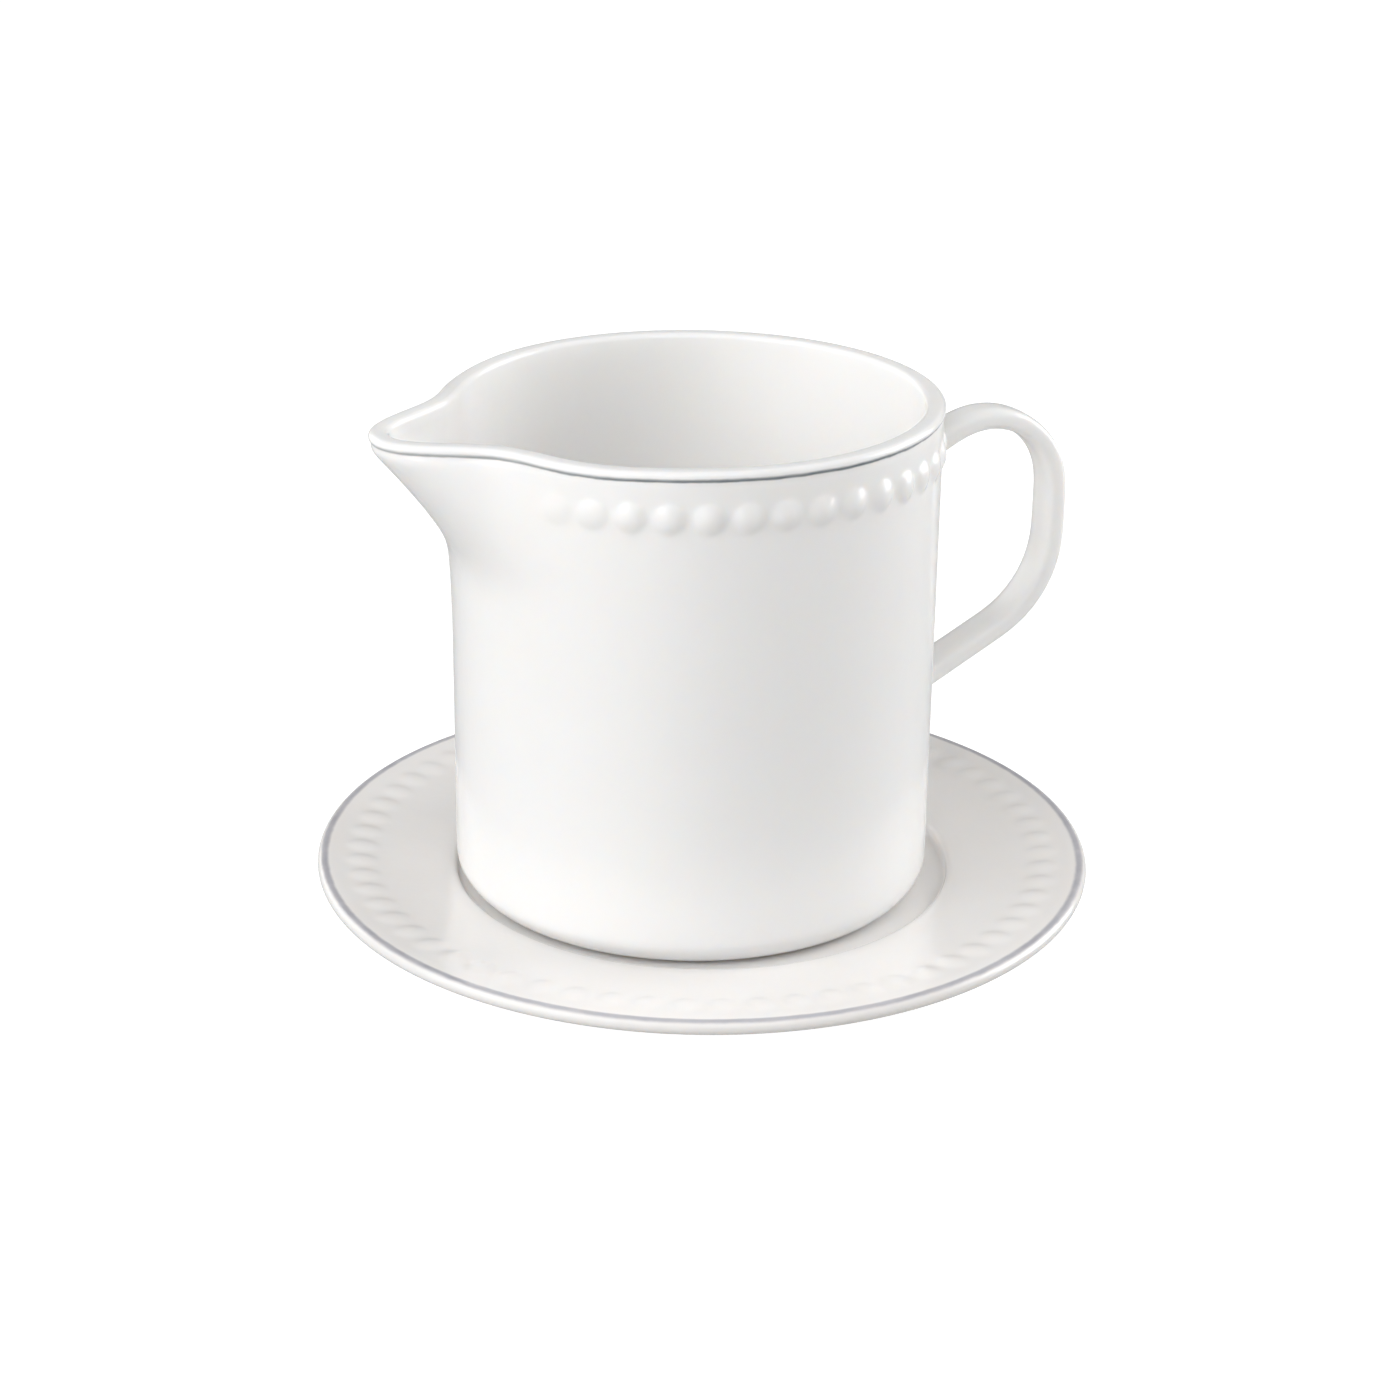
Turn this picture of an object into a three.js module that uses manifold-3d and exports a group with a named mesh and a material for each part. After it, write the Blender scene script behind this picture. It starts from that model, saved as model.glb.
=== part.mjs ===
// Gravy boat: a straight-sided pouring jug with a strap handle, standing in the well of a saucer.
// Units are millimetres, +Z is up, and the origin is on the saucer's axis at the table.
// +X points towards the handle, -X towards the spout. The XZ plane is the plane of symmetry.
import * as THREE from 'three';
import { mergeVertices } from 'three/addons/utils/BufferGeometryUtils.js';
import Module from 'manifold-3d';

const wasm = await Module();
wasm.setup();

// ---- driving dimensions ----

const TOUCH_GAP = 0.3;              // gap kept between pieces that rest on or join each other

// saucer
const SAUCER_RADIUS = 85.3;
const SAUCER_RIM_HEIGHT = 12.4;
const SAUCER_LIP_THICKNESS = 3;
const WELL_FLOOR_HEIGHT = 7;
const WELL_FLOOR_THICKNESS = 3.8;
const WELL_EDGE_RADIUS = 54.8;      // where the step around the well meets the flange
const WELL_DEPTH = 2;
const WELL_FILLET = 0.9;
const FLANGE_THICKNESS = 3.6;
const FLANGE_START_RUN = 1.6;       // from the well's edge out to where the flange runs straight
const FLANGE_START_RISE = 0.3;
const FOOT_RING_RADIUS = 45.8;      // middle of the ring that stands on the table
const FOOT_RING_WIDTH = 3.4;
const FOOT_RING_DRAFT = 2;          // how far the ring's sides lean outwards over its height
const SAUCER_SEGMENTS = 60;

const SAUCER_BEADS = 63;
const SAUCER_BEAD_RING_RADIUS = 75.6;
const SAUCER_BEAD_LENGTH = 6.8;     // along the radius
const SAUCER_BEAD_WIDTH = 5.6;
const SAUCER_BEAD_RELIEF = 0.6;
const SAUCER_BEAD_SINK = 0.1;       // how far a bead's centre lies under the flange

// jug body, heights above its own foot
const JUG_SLIDE = -2.75;            // the jug stands this far off centre, towards its spout
const JUG_RADIUS = 52;
const JUG_HEIGHT = 108.8;
const WALL = 3.8;
const JUG_FLOOR_THICKNESS = 3.6;
const FOOT_RECESS = 1.4;
const FOOT_INNER_RADIUS = 42.6;
const BOTTOM_CORNER_RADIUS = 6.2;
const INSIDE_CORNER_RADIUS = 8;
const CREASE_HEIGHT = 106.6;        // the groove under the lip, where the painted line runs
const JUG_SEGMENTS = 68;

// spout, as an outward push of the wall that depends on the angle from its axis and on the depth
const SPOUT_REACH = 18.4;
const SPOUT_HALF_ANGLE = 14.3 * THREE.MathUtils.DEG2RAD;
const SPOUT_SQUARENESS = 2.3;       // 2 is a bell, more is a blunter tip
const SPOUT_DEPTH = 28.3;
const SPOUT_TAPER = 1.22;
const SPOUT_SPREAD = 0.9;           // how much wider the push gets towards its lower end
const TIP_REACH = 17.2;             // the underside's slope ends here, so the tip is blunt
const TIP_ROUNDING = 0.4;
const FLARE_REACH = 2.1;            // the gentle swelling of the wall to both sides of the spout
const FLARE_HALF_ANGLE = 67 * THREE.MathUtils.DEG2RAD;
const FLARE_DEPTH = 51;
const FLARE_TAPER = 1.5;
const TIP_DIP = 0.7;                // the rim drops a little at the tip
const SHOULDER_DIP = 0.5;           // and to both sides of the spout
const SHOULDER_ANGLE = 41 * THREE.MathUtils.DEG2RAD;
const SHOULDER_HALF_ANGLE = 16 * THREE.MathUtils.DEG2RAD;
const DIP_START_HEIGHT = 80;        // the dips fade out from the crease down to here
const SEGMENTS_DRAWN_TO_SPOUT = 0.35;

// bead ring of the jug
const JUG_BEADS = 42;
const JUG_BEAD_HEIGHT = 99;         // middle of the ring, above the foot
const JUG_BEAD_RADIUS = 3;
const JUG_BEAD_RELIEF = 1.5;
const LAST_FULL_BEAD = 15;          // counted each way from the handle
const FADED_BEAD_RELIEF = 0.9;      // one more bead each way, before the spout
const JUG_BEAD_SINK = 0.3;          // how far a bead's centre lies inside the wall

// handle, a strap in the XZ plane: distance from the jug's axis, and height above its foot
const STRAP_WIDTH = 9.2;
const STRAP_THICKNESS = 4.8;
const STRAP_SQUARENESS = 3.2;       // exponent of the section's superellipse
const STRAP_INSET = 49.5;           // both ends start this far from the axis, inside the wall
const STRAP_TOP_HEIGHT = 96.3;      // highest point of the strap's middle line
const UPPER_BEND_RADIUS = 18;
const UPPER_ROOT_SLOPE = 28 * THREE.MathUtils.DEG2RAD;
const GRIP_REACH = 87.8;            // the upright grip between the two bends
const GRIP_FOOT_HEIGHT = 68;
const LOWER_BEND_RADIUS = 24;
const LOWER_ROOT_SLOPE = 27 * THREE.MathUtils.DEG2RAD;
const STRAP_STEPS = 40;
const STRAP_SIDES = 12;

// ---- solids ----

function toSolid(geometry) {
  const bare = geometry.index ? geometry.toNonIndexed() : geometry.clone();
  bare.deleteAttribute('normal');
  bare.deleteAttribute('uv');
  const merged = mergeVertices(bare, 1e-4);
  const kept = [];
  const index = merged.index.array;
  for (let i = 0; i < index.length; i += 3) {
    const [a, b, c] = index.slice(i, i + 3);
    if (a !== b && b !== c && a !== c) kept.push(a, b, c);
  }
  return new wasm.Manifold(new wasm.Mesh({
    numProp: 3,
    vertProperties: new Float32Array(merged.attributes.position.array),
    triVerts: new Uint32Array(kept),
  }));
}

function toGeometry(solid) {
  const mesh = solid.getMesh();
  const geometry = new THREE.BufferGeometry();
  geometry.setAttribute('position', new THREE.BufferAttribute(mesh.vertProperties, 3));
  geometry.setIndex(new THREE.BufferAttribute(mesh.triVerts, 1));
  geometry.computeVertexNormals();
  return geometry;
}

// points of an arc, angles in degrees, both ends included
function arc(centreR, centreZ, radius, from, to, steps) {
  const points = [];
  for (let i = 0; i <= steps; i += 1) {
    const angle = THREE.MathUtils.degToRad(from + (to - from) * i / steps);
    points.push([centreR + radius * Math.cos(angle), centreZ + radius * Math.sin(angle)]);
  }
  return points;
}

// a body of revolution about +Z from [radius, height] points that start and end on the axis
function turned(profile, segments) {
  const points = profile.map(([r, z]) => new THREE.Vector2(r, z));
  return new THREE.LatheGeometry(points, segments).rotateX(Math.PI / 2);
}

// ---- saucer ----

const lipRadius = SAUCER_LIP_THICKNESS / 2;
const lipCentre = [SAUCER_RADIUS - lipRadius, SAUCER_RIM_HEIGHT - lipRadius];
const wellTop = WELL_FLOOR_HEIGHT + WELL_DEPTH;
const flangeStart = [WELL_EDGE_RADIUS + FLANGE_START_RUN, wellTop + FLANGE_START_RISE];
const flangeSlope = (SAUCER_RIM_HEIGHT - flangeStart[1]) / (lipCentre[0] - flangeStart[0]);

function flangeHeight(r) {
  return flangeStart[1] + flangeSlope * (r - flangeStart[0]);
}

function saucerProfile() {
  const underside = WELL_FLOOR_HEIGHT - WELL_FLOOR_THICKNESS;
  const footInner = FOOT_RING_RADIUS - FOOT_RING_WIDTH / 2;
  const footOuter = FOOT_RING_RADIUS + FOOT_RING_WIDTH / 2;
  const flangeUnderside = WELL_EDGE_RADIUS + 2.4;
  const filletR = WELL_EDGE_RADIUS - 0.3 - WELL_FILLET;
  return [
    [0, underside],
    [footInner - FOOT_RING_DRAFT, underside],
    [footInner, 0],
    [footOuter, 0],
    [footOuter + FOOT_RING_DRAFT, underside],
    [flangeUnderside, flangeHeight(flangeUnderside) - FLANGE_THICKNESS],
    ...arc(...lipCentre, lipRadius, -80, 100, 5),
    flangeStart,
    [WELL_EDGE_RADIUS + 0.5, wellTop],
    [WELL_EDGE_RADIUS - 0.1, wellTop - 0.5],
    ...arc(filletR, WELL_FLOOR_HEIGHT + WELL_FILLET, WELL_FILLET, 0, -90, 3),
    [0, WELL_FLOOR_HEIGHT],
  ];
}

function makeSaucer() {
  let saucer = toSolid(turned(saucerProfile(), SAUCER_SEGMENTS));
  const bead = new THREE.SphereGeometry(1, 6, 4).rotateX(Math.PI / 2);
  bead.scale(SAUCER_BEAD_LENGTH / 2, SAUCER_BEAD_WIDTH / 2, SAUCER_BEAD_RELIEF + SAUCER_BEAD_SINK);
  const beadHeight = flangeHeight(SAUCER_BEAD_RING_RADIUS) - SAUCER_BEAD_SINK;
  const beads = [];
  for (let i = 0; i < SAUCER_BEADS; i += 1) {
    const angle = (i + 0.5) * 2 * Math.PI / SAUCER_BEADS;
    const copy = bead.clone();
    copy.rotateY(-Math.atan(flangeSlope));
    copy.translate(SAUCER_BEAD_RING_RADIUS, 0, beadHeight);
    copy.rotateZ(angle);
    beads.push(toSolid(copy));
  }
  saucer = wasm.Manifold.union([saucer, ...beads]);
  return toGeometry(saucer);
}

// ---- jug body ----

function bell(angle, halfAngle, power) {
  return Math.exp(-((Math.abs(angle) / halfAngle) ** power));
}

function blunted(reach) {
  return reach - TIP_ROUNDING * Math.log1p(Math.exp((reach - TIP_REACH) / TIP_ROUNDING));
}

// how far the outer wall stands from the axis, at an angle from the spout's axis and a height
function wallRadius(angle, height) {
  const depth = Math.max(CREASE_HEIGHT - height, 0);
  const spoutLeft = Math.max(1 - depth / SPOUT_DEPTH, 0);
  const flareLeft = Math.max(1 - depth / FLARE_DEPTH, 0);
  const halfAngle = SPOUT_HALF_ANGLE * (1 + SPOUT_SPREAD * (1 - spoutLeft));
  const reach = blunted(SPOUT_REACH * spoutLeft ** SPOUT_TAPER);
  const spout = reach * bell(angle, halfAngle, SPOUT_SQUARENESS);
  const flare = FLARE_REACH * flareLeft ** FLARE_TAPER * bell(angle, FLARE_HALF_ANGLE, 2);
  return JUG_RADIUS + spout + flare;
}

function rimDrop(angle, height) {
  const above = (height - DIP_START_HEIGHT) / (CREASE_HEIGHT - DIP_START_HEIGHT);
  const tip = TIP_DIP * bell(angle, SPOUT_HALF_ANGLE, 2);
  const shoulder = SHOULDER_DIP * bell(Math.abs(angle) - SHOULDER_ANGLE, SHOULDER_HALF_ANGLE, 2);
  return THREE.MathUtils.clamp(above, 0, 1) * (tip + shoulder);
}

// the point of the outer wall, and the wall's outward direction, seen from above
function wallPoint(angle, height) {
  const step = 0.002;
  const at = (a) => {
    const r = wallRadius(a, height);
    return new THREE.Vector2(-r * Math.cos(a), r * Math.sin(a));
  };
  const point = at(angle);
  const along = at(angle + step).sub(at(angle - step)).normalize();
  return { point, outward: new THREE.Vector2(-along.y, along.x) };
}

function jugProfile() {
  const inner = JUG_RADIUS - WALL;
  const insideFloor = FOOT_RECESS + JUG_FLOOR_THICKNESS;
  const corner = JUG_RADIUS - BOTTOM_CORNER_RADIUS;
  const wallHeights = [54, 73, 82, 90, 98, 104];
  return [
    [0, FOOT_RECESS],
    [FOOT_INNER_RADIUS - 1.6, FOOT_RECESS],
    [FOOT_INNER_RADIUS, 0],
    ...arc(corner, BOTTOM_CORNER_RADIUS, BOTTOM_CORNER_RADIUS, -90, 0, 4),
    ...wallHeights.map((z) => [JUG_RADIUS, z]),
    [JUG_RADIUS - 0.3, CREASE_HEIGHT],
    [JUG_RADIUS + 0.5, JUG_HEIGHT - 1.2],
    [JUG_RADIUS - 0.1, JUG_HEIGHT - 0.2],
    [JUG_RADIUS - 1.2, JUG_HEIGHT],
    [inner + 1.2, JUG_HEIGHT],
    [inner + 0.1, JUG_HEIGHT - 0.9],
    ...wallHeights.toReversed().map((z) => [inner, z]),
    ...arc(inner - INSIDE_CORNER_RADIUS, insideFloor + INSIDE_CORNER_RADIUS,
      INSIDE_CORNER_RADIUS, 0, -90, 3),
    [0, insideFloor],
  ];
}

function makeJugBody() {
  const shell = turned(jugProfile(), JUG_SEGMENTS);
  const position = shell.attributes.position;
  for (let i = 0; i < position.count; i += 1) {
    const radius = Math.hypot(position.getX(i), position.getY(i));
    const height = position.getZ(i);
    const even = Math.atan2(position.getY(i), -position.getX(i));
    const angle = even - SEGMENTS_DRAWN_TO_SPOUT * Math.sin(even);
    const { point, outward } = wallPoint(angle, height);
    const inset = radius < 1e-6 ? 0 : JUG_RADIUS - radius;
    const place = radius < 1e-6 ? new THREE.Vector2(0, 0) : point.addScaledVector(outward, -inset);
    position.setXYZ(i, place.x, place.y, height - rimDrop(angle, height));
  }
  const beads = [];
  for (let i = -LAST_FULL_BEAD - 1; i <= LAST_FULL_BEAD + 1; i += 1) {
    const relief = Math.abs(i) > LAST_FULL_BEAD ? FADED_BEAD_RELIEF : JUG_BEAD_RELIEF;
    const angle = Math.PI - i * 2 * Math.PI / JUG_BEADS;
    const { point, outward } = wallPoint(angle, JUG_BEAD_HEIGHT);
    const bead = new THREE.SphereGeometry(1, 8, 4).rotateZ(Math.PI / 2);
    bead.scale(relief + JUG_BEAD_SINK, JUG_BEAD_RADIUS, JUG_BEAD_RADIUS);
    bead.rotateZ(Math.atan2(outward.y, outward.x));
    point.addScaledVector(outward, -JUG_BEAD_SINK);
    bead.translate(point.x, point.y, JUG_BEAD_HEIGHT);
    beads.push(toSolid(bead));
  }
  return toGeometry(wasm.Manifold.union([toSolid(shell), ...beads]));
}

// ---- handle ----

function strapSection() {
  const points = [];
  const power = 2 / STRAP_SQUARENESS;
  for (let i = 0; i < STRAP_SIDES; i += 1) {
    const angle = 2 * Math.PI * i / STRAP_SIDES;
    const c = Math.cos(angle);
    const s = Math.sin(angle);
    const wide = Math.sign(c) * Math.abs(c) ** power * STRAP_WIDTH / 2;
    const thick = Math.sign(s) * Math.abs(s) ** power * STRAP_THICKNESS / 2;
    points.push(new THREE.Vector2(wide, thick));
  }
  return new THREE.Shape(points);
}

// The strap's middle line: out of the wall, round the upper bend, down the grip, round the lower bend
// and back to the wall.
function strapRoute() {
  const upper = new THREE.Vector2(GRIP_REACH - UPPER_BEND_RADIUS, STRAP_TOP_HEIGHT - UPPER_BEND_RADIUS);
  const lower = new THREE.Vector2(GRIP_REACH - LOWER_BEND_RADIUS, GRIP_FOOT_HEIGHT);
  const bendStart = new THREE.Vector2(
    upper.x - UPPER_BEND_RADIUS * Math.sin(UPPER_ROOT_SLOPE),
    upper.y + UPPER_BEND_RADIUS * Math.cos(UPPER_ROOT_SLOPE),
  );
  const bendEnd = new THREE.Vector2(
    lower.x + LOWER_BEND_RADIUS * Math.sin(LOWER_ROOT_SLOPE),
    lower.y - LOWER_BEND_RADIUS * Math.cos(LOWER_ROOT_SLOPE),
  );
  const path = new THREE.Path();
  path.moveTo(STRAP_INSET, bendStart.y - (bendStart.x - STRAP_INSET) * Math.tan(UPPER_ROOT_SLOPE));
  path.lineTo(bendStart.x, bendStart.y);
  path.absarc(upper.x, upper.y, UPPER_BEND_RADIUS, Math.PI / 2 + UPPER_ROOT_SLOPE, 0, true);
  path.absarc(lower.x, lower.y, LOWER_BEND_RADIUS, 0, LOWER_ROOT_SLOPE - Math.PI / 2, true);
  path.lineTo(STRAP_INSET, bendEnd.y - (bendEnd.x - STRAP_INSET) * Math.tan(LOWER_ROOT_SLOPE));
  const points = path.getSpacedPoints(STRAP_STEPS).map(({ x, y }) => new THREE.Vector3(x, 0, y));
  return new THREE.CatmullRomCurve3(points);
}

function makeHandle() {
  const strap = toSolid(new THREE.ExtrudeGeometry(strapSection(), {
    steps: STRAP_STEPS,
    extrudePath: strapRoute(),
    bevelEnabled: false,
  }));
  const room = new THREE.CylinderGeometry(1, 1, JUG_HEIGHT, 120).rotateX(Math.PI / 2);
  room.scale(JUG_RADIUS + TOUCH_GAP, JUG_RADIUS + TOUCH_GAP, 1);
  room.translate(0, 0, JUG_HEIGHT / 2);
  return toGeometry(strap.subtract(toSolid(room)));
}

// ---- assembly ----

function glaze(colour) {
  return new THREE.MeshStandardMaterial({ color: colour, roughness: 0.12, metalness: 0 });
}

function named(name, geometry, material) {
  const mesh = new THREE.Mesh(geometry, material);
  mesh.name = name;
  return mesh;
}

const gravyBoat = new THREE.Group();
gravyBoat.add(named('saucer', makeSaucer(), glaze(0xf0efed)));

const jug = new THREE.Group();
jug.position.set(JUG_SLIDE, 0, WELL_FLOOR_HEIGHT + TOUCH_GAP);
jug.add(named('jug_body', makeJugBody(), glaze(0xf4f4f3)));
jug.add(named('jug_handle', makeHandle(), glaze(0xf2f1f0)));
gravyBoat.add(jug);

export default gravyBoat;
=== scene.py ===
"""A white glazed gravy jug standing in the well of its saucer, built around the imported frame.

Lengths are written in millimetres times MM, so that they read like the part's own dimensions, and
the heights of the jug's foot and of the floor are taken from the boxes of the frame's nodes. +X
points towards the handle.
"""

import math

import bpy
import numpy as np
from mathutils import Matrix, Vector


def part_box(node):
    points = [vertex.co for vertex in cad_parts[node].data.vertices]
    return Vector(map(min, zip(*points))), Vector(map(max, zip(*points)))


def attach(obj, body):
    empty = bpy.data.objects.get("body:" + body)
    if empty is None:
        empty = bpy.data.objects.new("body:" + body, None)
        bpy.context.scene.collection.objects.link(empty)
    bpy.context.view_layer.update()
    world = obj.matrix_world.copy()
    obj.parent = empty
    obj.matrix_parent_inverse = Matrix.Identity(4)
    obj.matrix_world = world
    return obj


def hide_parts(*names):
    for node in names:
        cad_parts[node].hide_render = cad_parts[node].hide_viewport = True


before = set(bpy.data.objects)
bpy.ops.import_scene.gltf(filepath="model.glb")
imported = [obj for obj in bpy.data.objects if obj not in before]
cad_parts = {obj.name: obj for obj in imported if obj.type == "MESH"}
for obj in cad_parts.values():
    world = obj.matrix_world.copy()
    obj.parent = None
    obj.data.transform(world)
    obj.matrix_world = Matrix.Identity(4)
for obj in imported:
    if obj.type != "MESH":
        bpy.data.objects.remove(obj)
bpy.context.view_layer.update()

MM = 0.001
DEGREE = math.pi / 180

# ---- places taken from the frame ----

jug_low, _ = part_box("jug_body")
saucer_low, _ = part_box("saucer")

JUG_RADIUS = 52 * MM
JUG_FOOT = jug_low.z                        # the plane that the jug stands on
JUG_AXIS = -2.75 * MM                       # the jug stands off centre, towards its spout

# ---- dimensions of the glazed surfaces ----

# jug, heights above its foot
JUG_HEIGHT = 108.8 * MM
WALL = 3.8 * MM
JUG_FLOOR = 5 * MM
FOOT_RECESS = 1.4 * MM
FOOT_INNER_RADIUS = 42.6 * MM
FOOT_SLOPE = 1.6 * MM                       # run of the recess's slope inside the foot
BOTTOM_CORNER = 6.2 * MM
INSIDE_CORNER = 8 * MM
PLAIN_HEIGHT = 51 * MM                      # the wall is a plain cylinder below here
CREASE_HEIGHT = 106.6 * MM                  # the spout has its full reach from here up
CREASE_DEPTH = 0.25 * MM
CREASE_RUN = 1.4 * MM                       # how far below the painted line the crease starts
CREASE_DROP = 0.2 * MM                      # how far below the line the crease is deepest
LIP_ROLL = 0.4 * MM                         # how far the lip stands proud of the wall
LIP_CORNER = 1.1 * MM
JUG_SOFTNESS = 0.22 * MM                    # how far the glaze rounds the corners

# spout: an outward push of the wall that depends on the angle from its axis and on the depth
SPOUT_REACH = 18.4 * MM
SPOUT_HALF_ANGLE = 14.3 * DEGREE
SPOUT_SQUARENESS = 2.3
SPOUT_DEPTH = 28.3 * MM
SPOUT_TAPER = 1.22
SPOUT_SPREAD = 0.9
SPOUT_BEND = 0.09                           # softness of the bend where the spout leaves the wall
TIP_REACH = 17.2 * MM                       # the underside's slope ends here, so the tip is blunt
TIP_ROUNDING = 0.4 * MM
FLARE_REACH = 2.1 * MM
FLARE_HALF_ANGLE = 67 * DEGREE
FLARE_DEPTH = 51 * MM
FLARE_TAPER = 1.5
TIP_DIP = 0.7 * MM
SHOULDER_DIP = 0.5 * MM
SHOULDER_ANGLE = 41 * DEGREE
SHOULDER_HALF_ANGLE = 16 * DEGREE
DIP_START_HEIGHT = 80 * MM

# moulded beads of the jug, numbered each way from the handle
JUG_BEADS = 42
JUG_BEAD_HEIGHT = 99 * MM
JUG_BEAD_RADIUS = 3.2 * MM
JUG_BEAD_RELIEF = 1.0 * MM
JUG_BEAD_MELT = 0.2 * MM
LAST_FULL_BEAD = 15
FADING_BEADS = (0.75, 0.5)                  # share of the relief left on the next beads
COLUMNS_PER_JUG_BEAD = 14
JUG_FINE_REACH = 4.2 * MM                   # the mesh is fine within this of the beads' middle

# saucer
SAUCER_RADIUS = 85.3 * MM
SAUCER_RIM_HEIGHT = 12.4 * MM
SAUCER_LIP_THICKNESS = 3 * MM
WELL_FLOOR_HEIGHT = 7 * MM
WELL_FLOOR_THICKNESS = 3.8 * MM
WELL_EDGE_RADIUS = 54.8 * MM
WELL_DEPTH = 2 * MM
WELL_FILLET = 0.9 * MM
WELL_WALL_LEAN = 0.3 * MM                   # the step's foot lies this far inside its edge
WELL_SHOULDER = 0.5 * MM                    # the step's upper edge is cut off this far out and down
WELL_SHOULDER_LEAN = 0.1 * MM
FLANGE_START_RUN = 1.6 * MM                 # the flange starts this far outside the well's edge
FLANGE_START_RISE = 0.3 * MM
UNDERSIDE_BEND_RUN = 2.4 * MM               # the underside bends this far outside that edge
FLANGE_THICKNESS = 3.6 * MM
FOOT_RING_RADIUS = 45.8 * MM
FOOT_RING_WIDTH = 3.4 * MM
FOOT_RING_DRAFT = 2 * MM
SAUCER_BEADS = 63
SAUCER_BEAD_RING_RADIUS = 75.6 * MM
SAUCER_BEAD_LENGTH = 6.8 * MM
SAUCER_BEAD_WIDTH = 5.6 * MM
SAUCER_BEAD_RELIEF = 0.4 * MM
SAUCER_BEAD_MELT = 0.12 * MM
COLUMNS_PER_SAUCER_BEAD = 11
SAUCER_FINE_REACH = 4.6 * MM                # the mesh is fine within this of the bead ring
SAUCER_SOFTNESS = 0.25 * MM

# handle: distances from the jug's axis and heights above its foot, along the strap's middle line
STRAP_INSET = 49.5 * MM                     # both straight stretches are drawn from inside the wall
STRAP_TOP_HEIGHT = 96.3 * MM
UPPER_BEND_RADIUS = 18 * MM
UPPER_ROOT_SLOPE = 28                       # in degrees, as the lower one
GRIP_REACH = 87.8 * MM                      # the upright grip between the two bends
GRIP_FOOT_HEIGHT = 68 * MM
LOWER_BEND_RADIUS = 24 * MM
LOWER_ROOT_SLOPE = 27
STRAP_TOP_WIDTH = 8.7 * MM
STRAP_LOW_WIDTH = 9.8 * MM
STRAP_THICKNESS = 4.8 * MM
STRAP_SQUARENESS = 3.2
STRAP_SIDES = 64
STRAP_STEP = 0.45 * MM                      # average distance between rings of points
STRAP_CROWDING = 0.11                       # how much the rings crowd towards both ends
STRAP_SOFTNESS = 2.2 * MM
BEND_STEPS = 40
ROOT_FLARE = 1.4 * MM                       # extra thickness at the upper root
ROOT_FLARE_LENGTH = 9 * MM
ROOT_FILLET = 1.2 * MM
ROOT_SINK = 1.8 * MM                        # how far its middle line reaches into the wall

# painted lines
JUG_LINE_HEIGHT = 107.1 * MM                # in the groove under the lip
JUG_LINE_WIDTH = 1.0 * MM
LINE_LIT_ANGLE = 50 * DEGREE               # painted light: the jug's line is painted paler within this angle of the spout, where light falls on it
LINE_PALEST_LIT = 0.5
SAUCER_LINE_RADIUS = 82.8 * MM
SAUCER_LINE_WIDTH = 1.5 * MM
FAR_FROM_LINE = 99                          # in millimetres, for points that no line comes near

BARE_HEIGHT = 0.15 * MM                     # unglazed up to here, where it stands in the kiln


# ---- outlines ----

def arc(centre, radius, start, end, steps=12):
    """Points of an arc, angles in degrees, both ends included."""
    angles = np.linspace(start, end, steps + 1) * DEGREE
    return [(centre[0] + radius * math.cos(a), centre[1] + radius * math.sin(a)) for a in angles]


def lengths_along(points):
    """Distance travelled along the points, from the first."""
    steps = np.hypot(*np.diff(points, axis=0).T)
    return np.concatenate([[0], np.cumsum(steps)])


def softened(points, radius, step=0.08 * MM):
    """The outline resampled evenly, with its corners rounded as glaze rounds them."""
    points = np.array(points, float)
    along = lengths_along(points)
    count = int(along[-1] / step)
    even = np.linspace(0, along[-1], count)
    dense = np.stack([np.interp(even, along, points[:, k]) for k in (0, 1)], 1)
    reach = int(3 * radius / step)
    offsets = np.arange(-reach, reach + 1)
    weights = np.exp(-0.5 * (offsets * step / radius) ** 2)
    weights /= weights.sum()
    before = 2 * dense[0] - dense[reach:0:-1]
    after = 2 * dense[-1] - dense[-2:-reach - 2:-1]
    padded = np.concatenate([before, dense, after])
    return np.stack([np.convolve(padded[:, k], weights, "valid") for k in (0, 1)], 1)


def thinned(points, longest, turn=6 * DEGREE):
    """Keeps the outline's points where it bends, and never leaves a gap over longest(r, z)."""
    kept = [points[0]]
    direction = None
    for here, after in zip(points[1:-1], points[2:]):
        gap = np.hypot(*(here - kept[-1]))
        heading = math.atan2(*(after - here)[::-1])
        if direction is None:
            direction = heading
        bend = abs((heading - direction + math.pi) % (2 * math.pi) - math.pi)
        if gap > longest(*here) or bend > turn:
            kept.append(here)
            direction = heading
    kept.append(points[-1])
    return np.array(kept)


def dome(distance, radius, relief, melt):
    """Height of a ball's cap that melts into the surface. distance is 1 at the cap's foot."""
    ball = (radius ** 2 + relief ** 2) / (2 * relief)
    inside_ball = 0.98 * ball
    across = np.minimum(distance * radius, inside_ball)
    cap = np.sqrt(ball ** 2 - across ** 2) - (ball - relief)
    return melt * np.logaddexp(0, cap / melt)


# ---- meshes ----

def add_piece(name, points, faces, attributes, body, stands_for, material):
    """A smooth mesh on a body, shown in place of one node of the frame."""
    mesh = bpy.data.meshes.new(name)
    mesh.from_pydata(points.tolist(), [], faces)
    for label, values in attributes.items():
        layer = mesh.attributes.new(label, "FLOAT", "POINT")
        layer.data.foreach_set("value", np.asarray(values, np.float32))
    mesh.polygons.foreach_set("use_smooth", [True] * len(mesh.polygons))
    mesh.materials.append(material)
    mesh.validate()
    mesh.update()
    piece = bpy.data.objects.new(name, mesh)
    bpy.context.scene.collection.objects.link(piece)
    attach(piece, body)
    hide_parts(stands_for)


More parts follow.
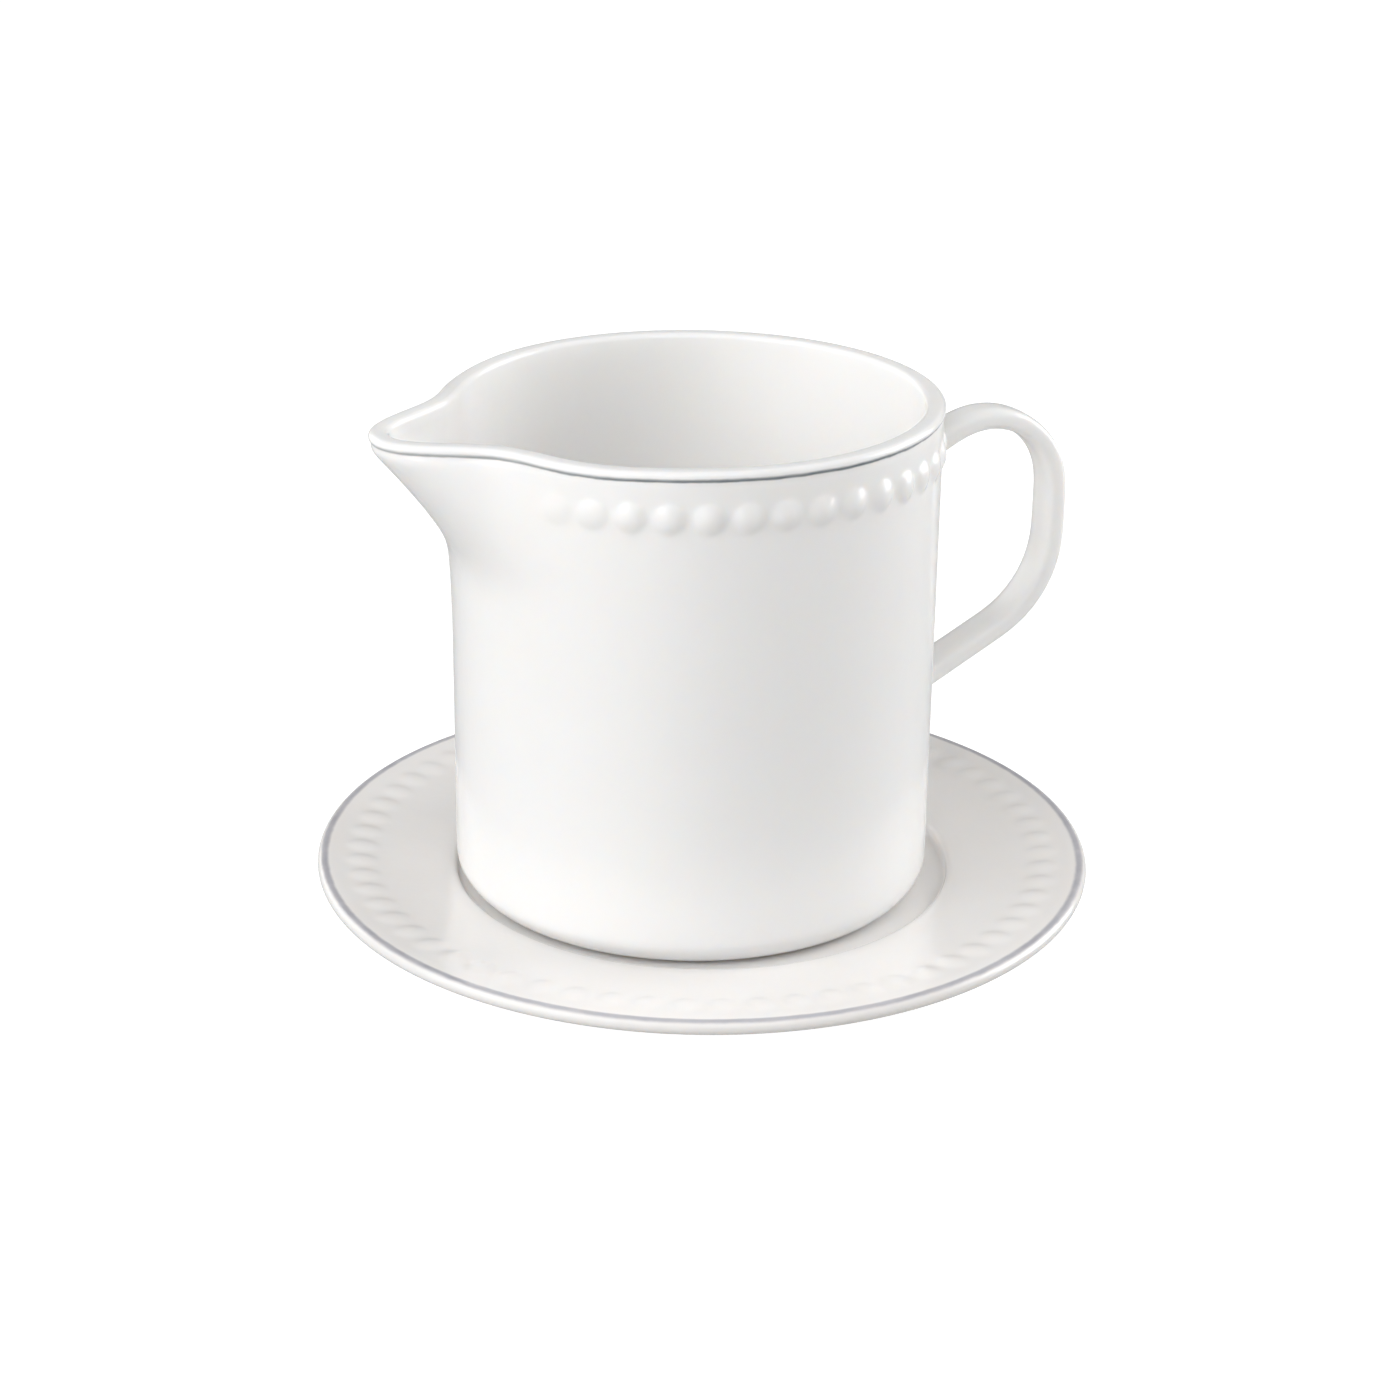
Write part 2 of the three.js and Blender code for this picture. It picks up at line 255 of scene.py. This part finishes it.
def round_faces(rows, columns):
    """Faces of a closed surface: a pole, rows of columns, and another pole.

    They face outwards where the rows start at the bottom on the outside and run anticlockwise, seen
    from above. The jug's angle runs clockwise, so its faces are reversed.
    """
    faces = []
    first_row, last_row = 1, 1 + (rows - 1) * columns
    end = 1 + rows * columns
    for j in range(columns):
        k = (j + 1) % columns
        faces.append((0, first_row + k, first_row + j))
        faces.append((end, last_row + j, last_row + k))
    for i in range(rows - 1):
        low = 1 + i * columns
        high = low + columns
        for j in range(columns):
            k = (j + 1) % columns
            faces.append((low + j, low + k, high + k, high + j))
    return faces


def with_poles(first, grid, last):
    """One list of points from a pole, a grid of rows by columns, and the other pole."""
    return np.concatenate([[first], grid.reshape(-1, grid.shape[-1]), [last]])


# ---- jug ----

def bell(angle, half_angle, power):
    """A hump of height 1 at angle 0. A higher power gives it a flatter top."""
    return np.exp(-((np.abs(angle) / half_angle) ** power))


def wall_radius(angle, height):
    """How far the outer wall stands from the axis, at an angle from the spout's axis."""
    depth = max(CREASE_HEIGHT - height, 0)
    spout_left = SPOUT_BEND * math.log1p(math.exp((1 - depth / SPOUT_DEPTH) / SPOUT_BEND))
    flare_left = max(1 - depth / FLARE_DEPTH, 0)
    half = SPOUT_HALF_ANGLE * (1 + SPOUT_SPREAD * (1 - spout_left))
    reach = SPOUT_REACH * spout_left ** SPOUT_TAPER
    reach -= TIP_ROUNDING * math.log1p(math.exp((reach - TIP_REACH) / TIP_ROUNDING))
    spout = reach * bell(angle, half, SPOUT_SQUARENESS)
    flare = FLARE_REACH * flare_left ** FLARE_TAPER * bell(angle, FLARE_HALF_ANGLE, 2)
    return JUG_RADIUS + spout + flare


def rim_drop(angle, height):
    """How far the wall dips at the spout's tip and at its two shoulders."""
    above = (height - DIP_START_HEIGHT) / (CREASE_HEIGHT - DIP_START_HEIGHT)
    tip = TIP_DIP * bell(angle, SPOUT_HALF_ANGLE, 2)
    shoulder = SHOULDER_DIP * bell(np.abs(angle) - SHOULDER_ANGLE, SHOULDER_HALF_ANGLE, 2)
    return min(max(above, 0), 1) * (tip + shoulder)


def wall_points(angle, height):
    """The outer wall's points at a height, and its outward directions, seen from above."""
    step = 0.001

    def at(a):
        r = wall_radius(a, height)
        return np.stack([-r * np.cos(a), r * np.sin(a)], -1)

    along = at(angle + step) - at(angle - step)
    along /= np.linalg.norm(along, axis=-1, keepdims=True)
    return at(angle), np.stack([-along[..., 1], along[..., 0]], -1)


def jug_outline():
    inner = JUG_RADIUS - WALL
    corner = JUG_RADIUS - BOTTOM_CORNER
    lip_outside = (JUG_RADIUS + LIP_ROLL - LIP_CORNER, JUG_HEIGHT - LIP_CORNER)
    lip_inside = (inner + LIP_CORNER, JUG_HEIGHT - LIP_CORNER)
    return [
        (0, FOOT_RECESS),
        (FOOT_INNER_RADIUS - FOOT_SLOPE, FOOT_RECESS),
        (FOOT_INNER_RADIUS, 0),
        *arc((corner, BOTTOM_CORNER), BOTTOM_CORNER, -90, 0),
        (JUG_RADIUS, JUG_LINE_HEIGHT - CREASE_RUN),
        (JUG_RADIUS - CREASE_DEPTH, JUG_LINE_HEIGHT - CREASE_DROP),
        *arc(lip_outside, LIP_CORNER, -45, 90),
        *arc(lip_inside, LIP_CORNER, 90, 180),
        *arc((inner - INSIDE_CORNER, JUG_FLOOR + INSIDE_CORNER), INSIDE_CORNER, 0, -90),
        (0, JUG_FLOOR),
    ]


def longest_on_jug(r, z):
    """The longest step between rings: short at the beads and lip, long where the jug is plain."""
    outside = r > JUG_RADIUS - WALL / 2
    if z < PLAIN_HEIGHT:
        return 8 * MM
    if outside and abs(z - JUG_BEAD_HEIGHT) < JUG_FINE_REACH:
        return 0.36 * MM
    if outside and z > JUG_BEAD_HEIGHT:
        return 0.5 * MM
    return 2.2 * MM


def jug_bead_relief(angle, height):
    """How far the beads lift the outer wall."""
    pitch = 2 * math.pi / JUG_BEADS
    from_handle = (math.pi - np.abs(angle)) / pitch
    number = np.round(from_handle)
    across = (from_handle - number) * pitch * JUG_RADIUS
    past_full = number - LAST_FULL_BEAD
    share = np.select([past_full <= 0, past_full == 1, past_full == 2], [1.0, *FADING_BEADS], 0.0)
    distance = np.hypot(across, height - JUG_BEAD_HEIGHT) / JUG_BEAD_RADIUS
    return share * dome(distance, JUG_BEAD_RADIUS, JUG_BEAD_RELIEF, JUG_BEAD_MELT)


def jug_row(angle, r, z):
    """One ring of the jug's points: plain circles at the floor and foot, and the wall elsewhere."""
    if r < JUG_RADIUS - WALL - 0.5 * MM and z < PLAIN_HEIGHT:
        place = np.stack([-r * np.cos(angle), r * np.sin(angle)], -1)
    else:
        inset = np.full(len(angle), JUG_RADIUS - r)
        if r > JUG_RADIUS - WALL / 2 and z > BOTTOM_CORNER:
            inset -= jug_bead_relief(angle, z)
        point, outward = wall_points(angle, z)
        place = point - outward * inset[:, None]
    height = z - rim_drop(angle, z)
    return [place[:, 0] + JUG_AXIS, place[:, 1], height + JUG_FOOT]


def make_jug_body(material):
    outline = thinned(softened(jug_outline(), JUG_SOFTNESS), longest_on_jug)
    columns = JUG_BEADS * COLUMNS_PER_JUG_BEAD
    angle = np.arange(columns) / columns * 2 * math.pi - math.pi
    along = lengths_along(outline)
    line_at = np.argmin(np.hypot(outline[:, 0] - JUG_RADIUS, outline[:, 1] - JUG_LINE_HEIGHT))
    rows = []
    for (r, z), offset in zip(outline[1:-1], (along - along[line_at])[1:-1]):
        rows.append(np.column_stack([
            *jug_row(angle, r, z),
            np.full(columns, offset / MM),
            np.full(columns, float(z < BARE_HEIGHT)),
        ]))
    first = (JUG_AXIS, 0, JUG_FOOT + outline[0, 1], -FAR_FROM_LINE, 0)
    last = (JUG_AXIS, 0, JUG_FOOT + outline[-1, 1], FAR_FROM_LINE, 0)
    table = with_poles(first, np.array(rows), last)
    faces = [face[::-1] for face in round_faces(len(rows), columns)]
    # painted light: the line is paler near the spout, where light falls on it, and at full strength
    # elsewhere
    strength = 1 - (1 - LINE_PALEST_LIT) * bell(angle, LINE_LIT_ANGLE, 2)
    paint_and_light = np.concatenate([[1], np.tile(strength, len(rows)), [1]])
    marks = {"line_offset": table[:, 3], "bare": table[:, 4], "line_paint_and_light": paint_and_light}
    add_piece("jug_body_glazed", table[:, :3], faces, marks,
              "jug", "jug_body", material)


# ---- handle ----

def strap_line():
    """The strap's middle line: out of the wall, round two bends with the grip between, and back."""
    upper = (GRIP_REACH - UPPER_BEND_RADIUS, STRAP_TOP_HEIGHT - UPPER_BEND_RADIUS)
    lower = (GRIP_REACH - LOWER_BEND_RADIUS, GRIP_FOOT_HEIGHT)
    bends = [
        *arc(upper, UPPER_BEND_RADIUS, 90 + UPPER_ROOT_SLOPE, 0, BEND_STEPS),
        *arc(lower, LOWER_BEND_RADIUS, 0, LOWER_ROOT_SLOPE - 90, BEND_STEPS),
    ]

    def in_wall(bend, slope):
        return STRAP_INSET, bend[1] - (bend[0] - STRAP_INSET) * math.tan(slope * DEGREE)

    line = [in_wall(bends[0], UPPER_ROOT_SLOPE), *bends, in_wall(bends[-1], LOWER_ROOT_SLOPE)]
    return softened(line, STRAP_SOFTNESS, step=0.2 * MM)


def strap_section():
    """Points round the strap's rounded cross-section, as shares of half its width and thickness."""
    around = np.arange(STRAP_SIDES) / STRAP_SIDES * 2 * math.pi
    power = 2 / STRAP_SQUARENESS
    wide = np.sign(np.cos(around)) * np.abs(np.cos(around)) ** power
    thick = np.sign(np.sin(around)) * np.abs(np.sin(around)) ** power
    return wide, thick


def root_fillet(place, outward):
    """How the strap's surface spreads along the wall where it meets it."""
    from_axis = np.hypot(place[:, 0], place[:, 1])
    radial = place * (1, 1, 0) / from_axis[:, None]
    outward = outward - np.sum(outward * radial, -1, keepdims=True) * radial
    outward /= np.linalg.norm(outward, axis=-1, keepdims=True)
    clear = np.clip((from_axis - JUG_RADIUS) / ROOT_FILLET, 0, 1)
    return outward * (ROOT_FILLET * (1 - clear) ** 2)[:, None]


def strap_ring(middle, heading, travelled, length):
    """One ring of points round the strap, at a place on its middle line."""
    wide, thick = strap_section()
    half_width = (STRAP_TOP_WIDTH + (STRAP_LOW_WIDTH - STRAP_TOP_WIDTH) * travelled / length) / 2
    flare = max(1 - travelled / ROOT_FLARE_LENGTH, 0) ** 1.5 * ROOT_FLARE
    half_thickness = (STRAP_THICKNESS + flare) / 2
    over = np.array([-heading[1], 0, heading[0]])
    side = np.array([0, 1, 0])
    place = np.array([middle[0], 0, middle[1]])
    place = place + np.outer(wide * half_width, side) + np.outer(thick * half_thickness, over)
    outward = np.outer(wide / half_width, side) + np.outer(thick / half_thickness, over)
    return place + root_fillet(place, outward)


def strap_rings():
    """Rings of points along the strap, closer together near both ends."""
    line = strap_line()
    line = line[line[:, 0] > JUG_RADIUS - ROOT_SINK]
    along = lengths_along(line)
    even = np.linspace(0, 1, int(along[-1] / STRAP_STEP))
    travelled = (even - STRAP_CROWDING * np.sin(2 * math.pi * even)) * along[-1]
    middle = np.stack([np.interp(travelled, along, line[:, k]) for k in (0, 1)], 1)
    heading = np.gradient(middle, axis=0)
    heading /= np.linalg.norm(heading, axis=1, keepdims=True)
    rings = [strap_ring(*place, along[-1]) for place in zip(middle, heading, travelled)]
    return np.array(rings) + np.array([JUG_AXIS, 0, JUG_FOOT])


def make_handle(material):
    grid = strap_rings()
    points = with_poles(grid[0].mean(0), grid, grid[-1].mean(0))
    faces = round_faces(len(grid), STRAP_SIDES)
    marks = {
        "line_offset": np.full(len(points), FAR_FROM_LINE),
        "bare": np.zeros(len(points)),
        "line_paint_and_light": np.zeros(len(points)),
    }
    add_piece("jug_handle_glazed", points, faces, marks,
              "jug", "jug_handle", material)


# ---- saucer ----

LIP_RADIUS = SAUCER_LIP_THICKNESS / 2
LIP_CENTRE = (SAUCER_RADIUS - LIP_RADIUS, SAUCER_RIM_HEIGHT - LIP_RADIUS)
WELL_TOP = WELL_FLOOR_HEIGHT + WELL_DEPTH
FLANGE_START = (WELL_EDGE_RADIUS + FLANGE_START_RUN, WELL_TOP + FLANGE_START_RISE)
FLANGE_SLOPE = (SAUCER_RIM_HEIGHT - FLANGE_START[1]) / (LIP_CENTRE[0] - FLANGE_START[0])


def flange_height(r):
    return FLANGE_START[1] + FLANGE_SLOPE * (r - FLANGE_START[0])


def saucer_outline():
    underside = WELL_FLOOR_HEIGHT - WELL_FLOOR_THICKNESS
    foot_inner = FOOT_RING_RADIUS - FOOT_RING_WIDTH / 2
    foot_outer = FOOT_RING_RADIUS + FOOT_RING_WIDTH / 2
    bend = WELL_EDGE_RADIUS + UNDERSIDE_BEND_RUN
    step_foot = WELL_EDGE_RADIUS - WELL_WALL_LEAN
    fillet_centre = (step_foot - WELL_FILLET, WELL_FLOOR_HEIGHT + WELL_FILLET)
    return [
        (0, underside),
        (foot_inner - FOOT_RING_DRAFT, underside),
        (foot_inner, 0),
        (foot_outer, 0),
        (foot_outer + FOOT_RING_DRAFT, underside),
        (bend, flange_height(bend) - FLANGE_THICKNESS),
        *arc(LIP_CENTRE, LIP_RADIUS, -80, 100),
        FLANGE_START,
        (WELL_EDGE_RADIUS + WELL_SHOULDER, WELL_TOP),
        (WELL_EDGE_RADIUS - WELL_SHOULDER_LEAN, WELL_TOP - WELL_SHOULDER),
        *arc(fillet_centre, WELL_FILLET, 0, -90),
        (0, WELL_FLOOR_HEIGHT),
    ]


def longest_on_saucer(r, z):
    """The longest step between rings: short at the beads, long where the saucer is plain."""
    if z > WELL_TOP and abs(r - SAUCER_BEAD_RING_RADIUS) < SAUCER_FINE_REACH:
        return 0.4 * MM
    return 3 * MM if r > FOOT_RING_RADIUS else 9 * MM


def saucer_bead_relief(angle, r):
    """How far the beads lift the flange."""
    pitch = 2 * math.pi / SAUCER_BEADS
    place = angle / pitch - 0.5
    across = (place - np.round(place)) * pitch * SAUCER_BEAD_RING_RADIUS / (SAUCER_BEAD_WIDTH / 2)
    radial = (r - SAUCER_BEAD_RING_RADIUS) / (SAUCER_BEAD_LENGTH / 2)
    distance = np.hypot(across, radial)
    return dome(distance, SAUCER_BEAD_WIDTH / 2, SAUCER_BEAD_RELIEF, SAUCER_BEAD_MELT)


def make_saucer(material):
    outline = thinned(softened(saucer_outline(), SAUCER_SOFTNESS), longest_on_saucer)
    columns = SAUCER_BEADS * COLUMNS_PER_SAUCER_BEAD
    angle = np.arange(columns) / columns * 2 * math.pi
    along = lengths_along(outline)
    under = outline[:, 1] <= LIP_CENTRE[1]
    line_at = np.argmin(np.abs(outline[:, 0] - SAUCER_LINE_RADIUS) + under)
    rows = []
    for (r, z), offset in zip(outline[1:-1], (along - along[line_at])[1:-1]):
        height = np.full(columns, z)
        if z > WELL_TOP and r < LIP_CENTRE[0]:
            height += saucer_bead_relief(angle, r)
        rows.append(np.column_stack([
            r * np.cos(angle),
            r * np.sin(angle),
            height,
            np.full(columns, offset / MM),
            np.full(columns, float(z < BARE_HEIGHT)),
        ]))
    first = (0, 0, outline[0, 1], -FAR_FROM_LINE, 0)
    last = (0, 0, outline[-1, 1], FAR_FROM_LINE, 0)
    table = with_poles(first, np.array(rows), last)
    faces = round_faces(len(rows), columns)
    marks = {"line_offset": table[:, 3], "bare": table[:, 4], "line_paint_and_light": np.ones(len(table))}
    add_piece("saucer_glazed", table[:, :3], faces, marks,
              "saucer", "saucer", material)


# ---- glaze ----

class Nodes:
    """A small helper that adds nodes to one tree and wires them."""

    def __init__(self, tree):
        self.tree = tree

    def add(self, kind, inputs=None, **settings):
        node = self.tree.nodes.new(kind)
        for key, value in settings.items():
            setattr(node, key, value)
        for key, value in (inputs or {}).items():
            if isinstance(value, bpy.types.NodeSocket):
                self.tree.links.new(value, node.inputs[key])
            else:
                node.inputs[key].default_value = value
        return node

    def noise(self, place, scale, detail=2.0):
        node = self.add("ShaderNodeTexNoise", {"Vector": place, "Scale": scale, "Detail": detail})
        return node.outputs["Fac"]

    def remap(self, value, low, high, to_low, to_high, smooth=False):
        node = self.add("ShaderNodeMapRange", {
            "Value": value, "From Min": low, "From Max": high, "To Min": to_low, "To Max": to_high,
        }, interpolation_type="SMOOTHSTEP" if smooth else "LINEAR")
        return node.outputs["Result"]

    def mix(self, factor, first, second):
        node = self.add("ShaderNodeMix", data_type="RGBA")
        for key, value in ((0, factor), (6, first), (7, second)):
            if isinstance(value, bpy.types.NodeSocket):
                self.tree.links.new(value, node.inputs[key])
            else:
                node.inputs[key].default_value = value
        return node.outputs[2]

    def math(self, operation, first, second=0.0):
        return self.add("ShaderNodeMath", {0: first, 1: second}, operation=operation).outputs[0]

    def attribute(self, name):
        return self.add("ShaderNodeAttribute", attribute_name=name).outputs["Fac"]


BARE_CLAY = (0.80, 0.76, 0.69, 1)
JUG_LINE_COLOUR = (0.20, 0.24, 0.27, 1)
# painted sheen: the saucer's line is set lighter than the jug's line of the same pigment, standing
# in for the light its lip top reflects
SAUCER_LINE_AND_SHEEN_COLOUR = (0.43, 0.43, 0.47, 1)


def glaze(name, light, shade, line_and_sheen_colour, line_width, line_softness):
    """Clear gloss glaze over white porcelain, with a painted line and a bare foot.

    line_softness is how far the line's inner and outer edges fade, in millimetres each way.
    """
    material = bpy.data.materials.new(name)
    material.use_nodes = True
    tree = material.node_tree
    tree.nodes.clear()
    make = Nodes(tree)
    place = make.add("ShaderNodeTexCoord").outputs["Object"]

    clouds = make.noise(place, 38.0, 3.0)
    body = make.mix(make.remap(clouds, 0.35, 0.65, 0.0, 1.0), light, shade)

    wobble = make.remap(make.noise(place, 300.0), 0.3, 0.7, -0.07, 0.07)
    offset = make.math("ADD", make.attribute("line_offset"), wobble)
    half = line_width / MM / 2
    inner, outer = line_softness
    before = make.remap(offset, -half - inner, -half + inner, 0.0, 1.0, smooth=True)
    after = make.remap(offset, half - outer, half + outer, 1.0, 0.0, smooth=True)
    edge = make.math("MULTIPLY", before, after)
    tone = make.remap(make.noise(place, 170.0, 3.0), 0.3, 0.7, 0.78, 1.0)
    # the line's strength carries painted light on the jug: paler near the spout, where light falls
    # on it
    paint_and_light = make.math("MULTIPLY", tone, make.attribute("line_paint_and_light"))
    # the line colour given for the saucer is lightened as painted sheen on its lip top
    painted = make.mix(make.math("MULTIPLY", edge, paint_and_light), body, line_and_sheen_colour)

    bare = make.attribute("bare")
    colour = make.mix(bare, painted, BARE_CLAY)
    gloss = make.remap(make.noise(place, 120.0, 4.0), 0.3, 0.7, 0.12, 0.18)
    roughness = make.math("MAXIMUM", gloss, make.math("MULTIPLY", bare, 0.8))

    peel = make.noise(place, 700.0, 2.0)
    wave = make.noise(place, 55.0, 1.0)
    ripple = make.add("ShaderNodeBump", {"Height": wave, "Strength": 0.12, "Distance": 1.0 * MM})
    bump = make.add("ShaderNodeBump", {
        "Height": peel, "Strength": 0.05, "Distance": 0.25 * MM, "Normal": ripple.outputs["Normal"],
    })
    shader = make.add("ShaderNodeBsdfPrincipled", {
        "Base Color": colour,
        "Roughness": roughness,
        "Normal": bump.outputs["Normal"],
        "IOR": 1.5,
        "Subsurface Weight": 0.85,
        "Subsurface Radius": (1.0, 0.9, 0.8),
        "Subsurface Scale": 3.0 * MM,
    })
    output = make.add("ShaderNodeOutputMaterial")
    tree.links.new(shader.outputs["BSDF"], output.inputs["Surface"])
    return material


JUG_GLAZE = glaze("jug_white_glaze", (0.93, 0.928, 0.923, 1), (0.92, 0.917, 0.91, 1),
                  JUG_LINE_COLOUR, JUG_LINE_WIDTH, (0.2, 0.35))
SAUCER_GLAZE = glaze("saucer_white_glaze", (0.855, 0.841, 0.83, 1), (0.84, 0.823, 0.809, 1),
                     SAUCER_LINE_AND_SHEEN_COLOUR, SAUCER_LINE_WIDTH, (0.45, 0.45))

make_jug_body(JUG_GLAZE)
make_handle(JUG_GLAZE)
make_saucer(SAUCER_GLAZE)


# ---- stage ----

def plain_white(name, grey, glow):
    """A matt white surface that may also glow a little."""
    material = bpy.data.materials.new(name)
    material.use_nodes = True
    shader = material.node_tree.nodes["Principled BSDF"]
    shader.inputs["Base Color"].default_value = (grey, grey, grey, 1)
    shader.inputs["Roughness"].default_value = 0.9
    shader.inputs["Specular IOR Level"].default_value = 0.0
    shader.inputs["Emission Color"].default_value = (1, 1, 1, 1)
    shader.inputs["Emission Strength"].default_value = glow
    return material


def add_stage(name, points, faces, material, seen, lights):
    """A stage surface: seen by the camera, lighting the object, or both."""
    mesh = bpy.data.meshes.new(name)
    mesh.from_pydata(points, [], faces)
    mesh.materials.append(material)
    surface = bpy.data.objects.new(name, mesh)
    bpy.context.scene.collection.objects.link(surface)
    surface.visible_camera = seen
    surface.visible_diffuse = lights
    surface.visible_glossy = lights
    surface.visible_transmission = lights
    surface.visible_shadow = lights


def disc(radius, z, sides=96):
    turns = [2 * math.pi * i / sides for i in range(sides)]
    corners = [(radius * math.cos(turn), radius * math.sin(turn), z) for turn in turns]
    return corners, [tuple(range(sides))]


FLOOR_RADIUS = 9.0
TABLE_GAP = 0.2 * MM                        # how far the table lies under the floor
BACKDROP_RADIUS = 11.0
BACKDROP_SINK = 1.0                         # how far the dome reaches down past the floor


def make_floor():
    """The white floor that the camera sees, over a dimmer table that lights the object."""
    add_stage("floor", *disc(FLOOR_RADIUS, saucer_low.z),
              plain_white("floor_white", 0.2, 0.97), seen=True, lights=False)
    add_stage("table", *disc(FLOOR_RADIUS, saucer_low.z - TABLE_GAP),
              plain_white("table_grey", 0.3, 0.21), seen=False, lights=True)


def make_backdrop():
    """A white dome behind everything, seen only where the floor ends."""
    rings = 12
    sides = 48
    points = []
    for i in range(rings + 1):
        tilt = math.pi / 2 * i / rings
        reach = BACKDROP_RADIUS * math.cos(tilt)
        height = BACKDROP_RADIUS * math.sin(tilt) - BACKDROP_SINK
        for j in range(sides):
            turn = 2 * math.pi * j / sides
            points.append((reach * math.cos(turn), reach * math.sin(turn), height))
    faces = []
    for i in range(rings):
        low = i * sides
        high = low + sides
        for j in range(sides):
            k = (j + 1) % sides
            faces.append((low + j, low + k, high + k, high + j))
    add_stage("backdrop", points, faces,
              plain_white("backdrop_white", 0.0, 1.0), seen=True, lights=False)


CAMERA_AZIMUTH = 24.85 * DEGREE
CAMERA_AIM = 24.65 * DEGREE
CAMERA_TILT = 22.215 * DEGREE
CAMERA_ROLL = 0.0125                        # in radians
CAMERA_DISTANCE = 600.2 * MM
CAMERA_HEIGHT = 285.5 * MM                  # above the jug's foot
CAMERA_LENS = 76.73


def make_camera():
    data = bpy.data.cameras.new("camera")
    data.lens = CAMERA_LENS
    data.sensor_width = 36
    data.clip_start = 0.01
    data.clip_end = 50
    camera = bpy.data.objects.new("camera", data)
    bpy.context.scene.collection.objects.link(camera)
    camera.location = (
        -CAMERA_DISTANCE * math.sin(CAMERA_AZIMUTH),
        -CAMERA_DISTANCE * math.cos(CAMERA_AZIMUTH),
        JUG_FOOT + CAMERA_HEIGHT,
    )
    look = Vector((
        math.sin(CAMERA_AIM) * math.cos(CAMERA_TILT),
        math.cos(CAMERA_AIM) * math.cos(CAMERA_TILT),
        -math.sin(CAMERA_TILT),
    ))
    turn = look.to_track_quat("-Z", "Y").to_matrix() @ Matrix.Rotation(CAMERA_ROLL, 3, "Z")
    camera.rotation_euler = turn.to_euler()
    bpy.context.scene.camera = camera


SOFTBOX_DISTANCE = 1.4
SOFTBOX_AIM = 60 * MM                       # the softboxes face this height above the table


def away_from_object(turn, height):
    """The direction of a light: turn is to the right of the camera, height above the table."""
    azimuth = CAMERA_AZIMUTH - turn * DEGREE
    return Vector((
        -math.sin(azimuth) * math.cos(height * DEGREE),
        -math.cos(azimuth) * math.cos(height * DEGREE),
        math.sin(height * DEGREE),
    ))


def softbox(name, turn, height, side, power):
    """A square light that faces the object: angles in degrees, side in metres, power in watts."""
    data = bpy.data.lights.new(name, "AREA")
    data.shape = "SQUARE"
    data.size = side
    data.energy = power
    light = bpy.data.objects.new(name, data)
    bpy.context.scene.collection.objects.link(light)
    back = away_from_object(turn, height)
    light.location = Vector((0, 0, SOFTBOX_AIM)) + back * SOFTBOX_DISTANCE
    light.rotation_euler = (-back).to_track_quat("-Z", "Y").to_euler()
    light.visible_camera = False


def make_world():
    """Dim, even light from all round."""
    world = bpy.data.worlds.new("studio")
    bpy.context.scene.world = world
    world.use_nodes = True
    background = world.node_tree.nodes["Background"]
    background.inputs["Color"].default_value = (1.0, 0.985, 0.97, 1)
    background.inputs["Strength"].default_value = 0.17


make_floor()
make_backdrop()
make_world()
make_camera()
softbox("key_left", -56, 34, 1.4, 15.5)
softbox("front_high", 5, 48, 0.9, 4.5)
softbox("front_low", -25, 6, 1.2, 2.6)
softbox("front_right", 50, 30, 0.9, 0.5)
softbox("side_right", 109, 17, 1.1, 17)
softbox("back_left", -130, 20, 0.9, 3.5)
softbox("back_right", 150, 35, 0.9, 0.7)

bpy.context.scene.view_settings.view_transform = "Standard"
